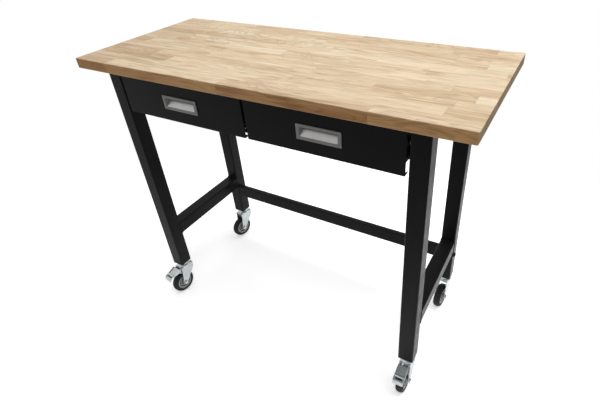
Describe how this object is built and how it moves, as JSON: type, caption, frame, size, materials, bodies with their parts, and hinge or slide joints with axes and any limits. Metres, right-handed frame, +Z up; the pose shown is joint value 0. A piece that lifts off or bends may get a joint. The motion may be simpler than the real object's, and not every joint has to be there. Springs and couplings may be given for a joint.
{
  "type": "mobile workbench",
  "caption": "Mobile workbench with a solid wood top on a black steel tube frame, shallow drawers on telescopic slides under the top and swivel casters with brakes.",
  "frame": {"origin": "on the floor, under the middle of the bench's outer box", "axes": "+X along the worktop to the right seen from the drawers' side, +Y from the drawers' side to the back, +Z up"},
  "size_m": [1.2, 0.5362, 0.96],
  "materials": {
    "wood": "oiled satin",
    "black_coat": "satin powder coat",
    "slide_steel": "rolled, zinc plated",
    "pull_grey": "fine grained",
    "zinc": "bright zinc plated",
    "rim_grey": "moulded satin",
    "tyre_rubber": "matt"
  },
  "bodies": {
    "frame": {"worktop": "wood", "leg_front_left": "black_coat", "leg_front_right": "black_coat", "leg_rear_left": "black_coat", "leg_rear_right": "black_coat", "side_rail_lower_left": "black_coat", "side_rail_lower_right": "black_coat", "side_rail_upper_left": "black_coat", "side_rail_upper_right": "black_coat", "rear_rail_lower": "black_coat", "rear_rail_upper": "black_coat", "rail_bolt_lower_left": "black_coat", "rail_bolt_lower_right": "black_coat", "rail_bolt_upper_left": "black_coat", "rail_bolt_upper_right": "black_coat", "drawer_hanger": "black_coat", "slide_cabinet_left_a": "slide_steel", "slide_cabinet_left_b": "slide_steel", "slide_cabinet_right_a": "slide_steel", "slide_cabinet_right_b": "slide_steel", "caster_head_front_left": "zinc", "caster_head_front_right": "zinc", "caster_head_rear_left": "zinc", "caster_head_rear_right": "zinc"},
    "drawer_left": {"drawer_front_left": "black_coat", "drawer_tray_left": "black_coat", "drawer_pull_left": "pull_grey", "slide_drawer_left_a": "slide_steel", "slide_drawer_left_b": "slide_steel"},
    "drawer_right": {"drawer_front_right": "black_coat", "drawer_tray_right": "black_coat", "drawer_pull_right": "pull_grey", "slide_drawer_right_a": "slide_steel", "slide_drawer_right_b": "slide_steel"},
    "slide_middle_left": {"slide_middle_left_a": "slide_steel", "slide_middle_left_b": "slide_steel"},
    "slide_middle_right": {"slide_middle_right_a": "slide_steel", "slide_middle_right_b": "slide_steel"},
    "swivel_front_left": {"caster_fork_front_left": "zinc", "caster_axle_front_left": "zinc"},
    "swivel_front_right": {"caster_fork_front_right": "zinc", "caster_axle_front_right": "zinc"},
    "swivel_rear_left": {"caster_fork_rear_left": "zinc", "caster_axle_rear_left": "zinc"},
    "swivel_rear_right": {"caster_fork_rear_right": "zinc", "caster_axle_rear_right": "zinc"},
    "wheel_front_left": {"caster_rim_front_left": "rim_grey", "caster_tyre_front_left": "tyre_rubber"},
    "wheel_front_right": {"caster_rim_front_right": "rim_grey", "caster_tyre_front_right": "tyre_rubber"},
    "wheel_rear_left": {"caster_rim_rear_left": "rim_grey", "caster_tyre_rear_left": "tyre_rubber"},
    "wheel_rear_right": {"caster_rim_rear_right": "rim_grey", "caster_tyre_rear_right": "tyre_rubber"},
    "pedal_front_left": {"brake_pedal_front_left": "zinc"},
    "pedal_front_right": {"brake_pedal_front_right": "zinc"}
  },
  "joints": [
    {"name": "drawer_left_slide", "type": "slide", "parent": "frame", "child": "drawer_left", "axis": [0, -1, 0], "range_m": [0, 0.33]},
    {"name": "drawer_right_slide", "type": "slide", "parent": "frame", "child": "drawer_right", "axis": [0, -1, 0], "range_m": [0, 0.33]},
    {"name": "middle_left_slide", "type": "slide", "parent": "frame", "child": "slide_middle_left", "axis": [0, -1, 0], "range_m": [0, 0.165]},
    {"name": "middle_right_slide", "type": "slide", "parent": "frame", "child": "slide_middle_right", "axis": [0, -1, 0], "range_m": [0, 0.165]},
    {"name": "swivel_front_left_turn", "type": "hinge", "parent": "frame", "child": "swivel_front_left", "pos_m": [-0.479, -0.18189, 0.13], "axis": [0, 0, 1], "continuous": true},
    {"name": "swivel_front_right_turn", "type": "hinge", "parent": "frame", "child": "swivel_front_right", "pos_m": [0.479, -0.18189, 0.13], "axis": [0, 0, 1], "continuous": true},
    {"name": "swivel_rear_left_turn", "type": "hinge", "parent": "frame", "child": "swivel_rear_left", "pos_m": [-0.479, 0.20411, 0.13], "axis": [0, 0, 1], "continuous": true},
    {"name": "swivel_rear_right_turn", "type": "hinge", "parent": "frame", "child": "swivel_rear_right", "pos_m": [0.479, 0.20411, 0.13], "axis": [0, 0, 1], "continuous": true},
    {"name": "wheel_front_left_spin", "type": "hinge", "parent": "swivel_front_left", "child": "wheel_front_left", "pos_m": [-0.48151, -0.20576, 0.045], "axis": [0.9945, -0.1045, 0], "continuous": true},
    {"name": "wheel_front_right_spin", "type": "hinge", "parent": "swivel_front_right", "child": "wheel_front_right", "pos_m": [0.479, -0.20589, 0.045], "axis": [1, 0, 0], "continuous": true},
    {"name": "wheel_rear_left_spin", "type": "hinge", "parent": "swivel_rear_left", "child": "wheel_rear_left", "pos_m": [-0.48358, 0.18055, 0.045], "axis": [0.9816, -0.1908, 0], "continuous": true},
    {"name": "wheel_rear_right_spin", "type": "hinge", "parent": "swivel_rear_right", "child": "wheel_rear_right", "pos_m": [0.47691, 0.1802, 0.045], "axis": [0.9962, -0.0872, 0], "continuous": true},
    {"name": "pedal_front_left_press", "type": "hinge", "parent": "swivel_front_left", "child": "pedal_front_left", "pos_m": [-0.48025, -0.19382, 0.108], "axis": [0.9945, -0.1045, 0], "range_deg": [0, 12]},
    {"name": "pedal_front_right_press", "type": "hinge", "parent": "swivel_front_right", "child": "pedal_front_right", "pos_m": [0.479, -0.19389, 0.108], "axis": [1, 0, 0], "range_deg": [0, 12]}
  ],
  "couplings": [
    {"joint": "middle_left_slide", "follows": "drawer_left_slide", "ratio": 0.5},
    {"joint": "middle_right_slide", "follows": "drawer_right_slide", "ratio": 0.5}
  ]
}
